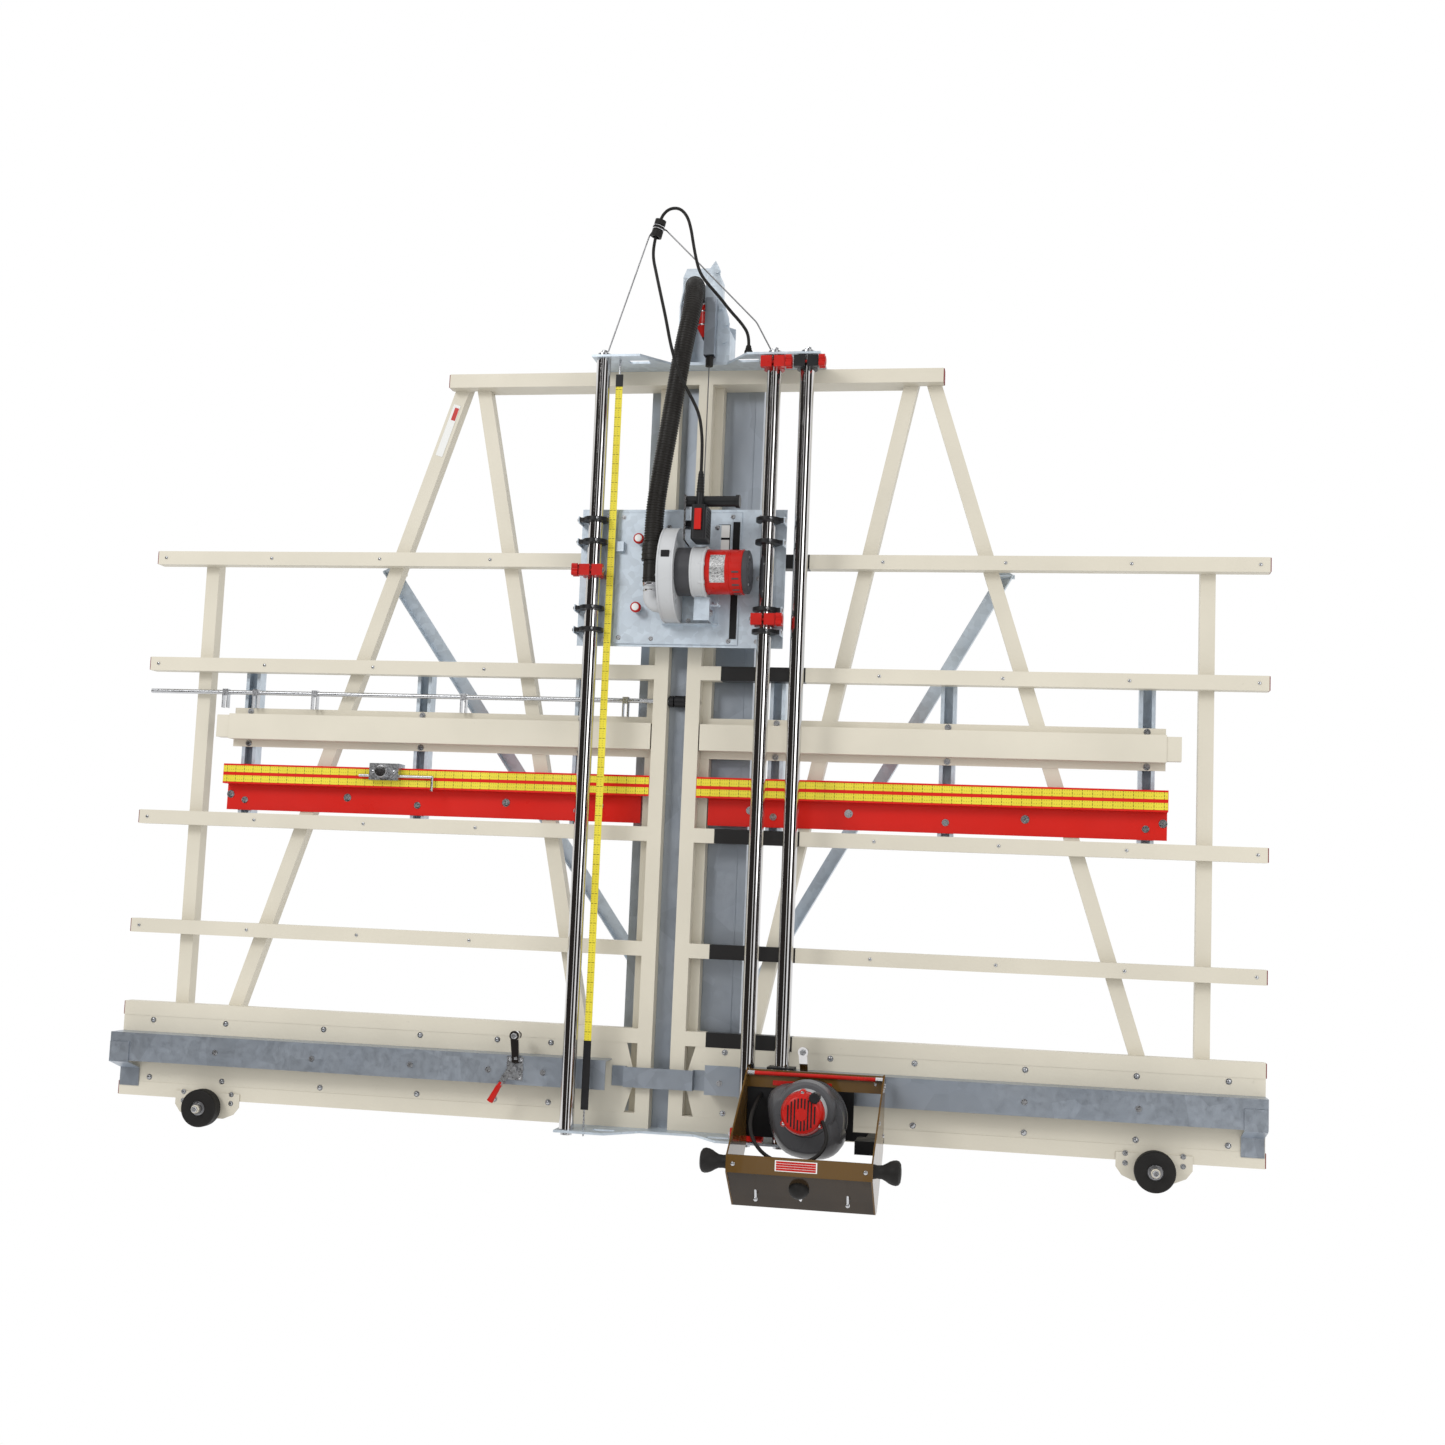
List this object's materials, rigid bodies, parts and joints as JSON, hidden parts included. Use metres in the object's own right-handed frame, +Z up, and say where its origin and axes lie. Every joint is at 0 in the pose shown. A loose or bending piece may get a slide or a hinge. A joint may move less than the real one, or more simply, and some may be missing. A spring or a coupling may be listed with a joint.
{
  "type": "panel saw",
  "caption": "Leaning vertical panel saw: tube frame with fences, guide tubes, turntable saw carriage, panel router, balancer, hose and rear stand.",
  "frame": {"origin": "centre of the footprint, on the floor", "axes": "+Z up, +X to the right along the rails seen from the operator, +Y back through the frame toward the rear stand"},
  "size_m": [3.053, 1.1552, 2.4777],
  "materials": {
    "cream_paint": "satin powder coat, warm cream",
    "cap_plastic": "dark red moulded plastic",
    "track_black": "black anodised profile",
    "galvanised": "bright galvanised sheet with a faint spangle",
    "red_paint": "gloss red powder coat",
    "tape_yellow": "yellow tape with black ticks",
    "zinc": "bright zinc plate",
    "chrome_tube": "polished hard chrome tube",
    "plated_sheet": "zinc-plated sheet",
    "red_plastic": "red moulded plastic",
    "wire_steel": "bright steel wire",
    "hose_rubber": "black ribbed rubber hose",
    "cord_rubber": "black cord jacket",
    "black_plastic": "black moulded plastic",
    "blade_steel": "ground saw steel",
    "grey_cast": "silver grey cast housing",
    "amber_sheet": "amber tinted clear sheet",
    "black_rubber": "black rubber"
  },
  "bodies": {
    "frame": {"cable_balancer": "red_plastic", "centre_posts": "cream_paint", "clamp_bases": "zinc", "cord_support": "wire_steel", "dust_column": "galvanised", "dust_hose": "hose_rubber", "fence_strips": "galvanised", "fence_struts": "galvanised", "frame_bolts": "zinc", "frame_rails": "cream_paint", "frame_uprights": "cream_paint", "guide_tubes": "chrome_tube", "hat_beams": "cream_paint", "lower_beam": "cream_paint", "measuring_tapes": "tape_yellow", "mid_fence": "red_paint", "power_cord": "cord_rubber", "rail_end_caps": "cap_plastic", "router_track_inserts": "track_black", "saw_cable": "wire_steel", "tower_bracket": "plated_sheet", "tube_plates": "plated_sheet", "tube_stops": "red_plastic", "wheel_brackets": "cream_paint"},
    "balancer_drum": {"balancer_drum": "black_plastic"},
    "left_wheel": {"left_wheel": "red_plastic"},
    "right_wheel": {"right_wheel": "red_plastic"},
    "left_clamp_handle": {"left_clamp_handle": "red_plastic"},
    "left_clamp_arm": {"left_clamp_arm": "zinc"},
    "right_clamp_handle": {"right_clamp_handle": "red_plastic"},
    "right_clamp_arm": {"right_clamp_arm": "zinc"},
    "stop_rod": {"stop_rod": "zinc"},
    "flip_stop": {"flip_stop": "zinc"},
    "flip_stop_knob": {"flip_stop_knob": "red_plastic"},
    "rear_stand": {"rear_stand": "galvanised"},
    "saw_carriage": {"saw_carriage_plate": "plated_sheet", "bearing_rings": "black_plastic", "carriage_locks": "red_plastic"},
    "turntable": {"turntable_plate": "plated_sheet", "saw_bracket": "plated_sheet", "saw_motor": "red_plastic", "blade_guard": "grey_cast", "saw_handle": "black_plastic", "dust_elbow": "grey_cast"},
    "saw_trigger": {"saw_trigger": "red_plastic"},
    "saw_blade": {"saw_blade": "blade_steel"},
    "index_pins": {"index_pins": "zinc"},
    "router_carriage": {"router_carriage": "black_plastic", "router_base": "grey_cast", "router_shield": "amber_sheet", "shield_handles": "black_rubber", "router_cord": "cord_rubber"},
    "router_motor": {"router_motor": "red_plastic"},
    "router_collet": {"router_collet": "blade_steel"},
    "plunge_lever": {"plunge_lever": "zinc"},
    "stop_knob_middle_top": {"stop_knob_middle_top": "red_plastic"},
    "stop_knob_right_top": {"stop_knob_right_top": "red_plastic"},
    "stop_knob_middle_low": {"stop_knob_middle_low": "red_plastic"},
    "lock_knob_left": {"lock_knob_left": "red_plastic"},
    "lock_knob_right": {"lock_knob_right": "red_plastic"}
  },
  "joints": [
    {"name": "saw_slide", "type": "slide", "parent": "frame", "child": "saw_carriage", "axis": [0, 0.2079, 0.9781], "range_m": [-1.18, 0.3], "deforming": ["dust_hose", "power_cord", "saw_cable"]},
    {"name": "turntable_turn", "type": "hinge", "parent": "saw_carriage", "child": "turntable", "pos_m": [0, 0.0896, 1.48987], "axis": [0, -0.9781, 0.2079], "range_deg": [0, 90]},
    {"name": "blade_spin", "type": "hinge", "parent": "turntable", "child": "saw_blade", "pos_m": [0, 0.05928, 1.49632], "axis": [1, 0, 0], "continuous": true},
    {"name": "trigger_press", "type": "slide", "parent": "turntable", "child": "saw_trigger", "axis": [0, 0.9781, -0.2079], "range_m": [0, 0.005], "stiffness_N_per_m": 600},
    {"name": "index_pin_pull", "type": "slide", "parent": "turntable", "child": "index_pins", "axis": [0, -0.9781, 0.2079], "range_m": [-0.003, 0.006]},
    {"name": "balancer_drum_turn", "type": "hinge", "parent": "frame", "child": "balancer_drum", "pos_m": [0.064, 0.2487, 2.20952], "axis": [1, 0, 0], "continuous": true},
    {"name": "left_lock_turn", "type": "hinge", "parent": "saw_carriage", "child": "lock_knob_left", "pos_m": [-0.215, 0.02748, 1.51023], "axis": [1, 0, 0], "range_deg": [0, 180]},
    {"name": "right_lock_turn", "type": "hinge", "parent": "saw_carriage", "child": "lock_knob_right", "pos_m": [0.2485, 0.00128, 1.38698], "axis": [1, 0, 0], "range_deg": [0, 180]},
    {"name": "middle_top_stop_turn", "type": "hinge", "parent": "frame", "child": "stop_knob_middle_top", "pos_m": [0.2485, 0.14328, 2.05506], "axis": [1, 0, 0], "range_deg": [0, 180]},
    {"name": "right_top_stop_turn", "type": "hinge", "parent": "frame", "child": "stop_knob_right_top", "pos_m": [0.336, 0.14328, 2.05506], "axis": [1, 0, 0], "range_deg": [0, 180]},
    {"name": "middle_low_stop_turn", "type": "hinge", "parent": "frame", "child": "stop_knob_middle_low", "pos_m": [0.2485, -0.27005, 0.1105], "axis": [1, 0, 0], "range_deg": [0, 180]},
    {"name": "router_slide", "type": "slide", "parent": "frame", "child": "router_carriage", "axis": [0, 0.2079, 0.9781], "range_m": [0, 1.7]},
    {"name": "router_plunge", "type": "slide", "parent": "router_carriage", "child": "router_motor", "axis": [0, 0.9781, -0.2079], "range_m": [0, 0.048]},
    {"name": "plunge_lever_turn", "type": "hinge", "parent": "router_carriage", "child": "plunge_lever", "pos_m": [0, -0.36647, 0.13304], "axis": [1, 0, 0], "range_deg": [-90.5, 0.5]},
    {"name": "collet_spin", "type": "hinge", "parent": "router_motor", "child": "router_collet", "pos_m": [0.423, -0.23162, 0.19026], "axis": [0, 0.9781, -0.2079], "continuous": true},
    {"name": "left_clamp_close", "type": "hinge", "parent": "frame", "child": "left_clamp_handle", "pos_m": [-0.373, -0.1846, 0.21911], "axis": [0, 0.9781, -0.2079], "range_deg": [0, 80]},
    {"name": "left_clamp_arm_turn", "type": "hinge", "parent": "frame", "child": "left_clamp_arm", "pos_m": [-0.369, -0.17569, 0.24175], "axis": [0, 0.9781, -0.2079], "range_deg": [0, 40.5]},
    {"name": "right_clamp_close", "type": "hinge", "parent": "frame", "child": "right_clamp_handle", "pos_m": [0.387, -0.1846, 0.21911], "axis": [0, 0.9781, -0.2079], "range_deg": [-25, 20]},
    {"name": "right_clamp_arm_turn", "type": "hinge", "parent": "frame", "child": "right_clamp_arm", "pos_m": [0.391, -0.17569, 0.24175], "axis": [0, 0.9781, -0.2079], "range_deg": [-13, 11]},
    {"name": "left_wheel_roll", "type": "hinge", "parent": "frame", "child": "left_wheel", "pos_m": [-1.259, -0.1772, 0.05192], "axis": [0, 0.9781, -0.2079], "continuous": true},
    {"name": "right_wheel_roll", "type": "hinge", "parent": "frame", "child": "right_wheel", "pos_m": [1.259, -0.1772, 0.05192], "axis": [0, 0.9781, -0.2079], "continuous": true},
    {"name": "flip_stop_slide", "type": "slide", "parent": "frame", "child": "flip_stop", "axis": [1, 0, 0], "range_m": [-0.37, 0.49]},
    {"name": "flip_stop_knob_turn", "type": "hinge", "parent": "flip_stop", "child": "flip_stop_knob", "pos_m": [-0.805, 0.02399, 0.95993], "axis": [0, 0.9781, -0.2079], "range_deg": [0, 180]},
    {"name": "stop_rod_roll", "type": "hinge", "parent": "frame", "child": "stop_rod", "pos_m": [0, 0.11522, 1.1583], "axis": [1, 0, 0], "range_deg": [-90, 0]},
    {"name": "rear_stand_fold", "type": "hinge", "parent": "frame", "child": "rear_stand", "pos_m": [0, 0.26657, 1.49519], "axis": [1, 0, 0], "range_deg": [-13, 0]}
  ],
  "couplings": [
    {"joint": "balancer_drum_turn", "follows": "saw_slide", "rad_per_m": 87},
    {"joint": "plunge_lever_turn", "follows": "router_plunge", "rad_per_m": -32.725},
    {"joint": "left_clamp_arm_turn", "follows": "left_clamp_close", "ratio": 0.5},
    {"joint": "right_clamp_arm_turn", "follows": "right_clamp_close", "ratio": 0.5}
  ]
}
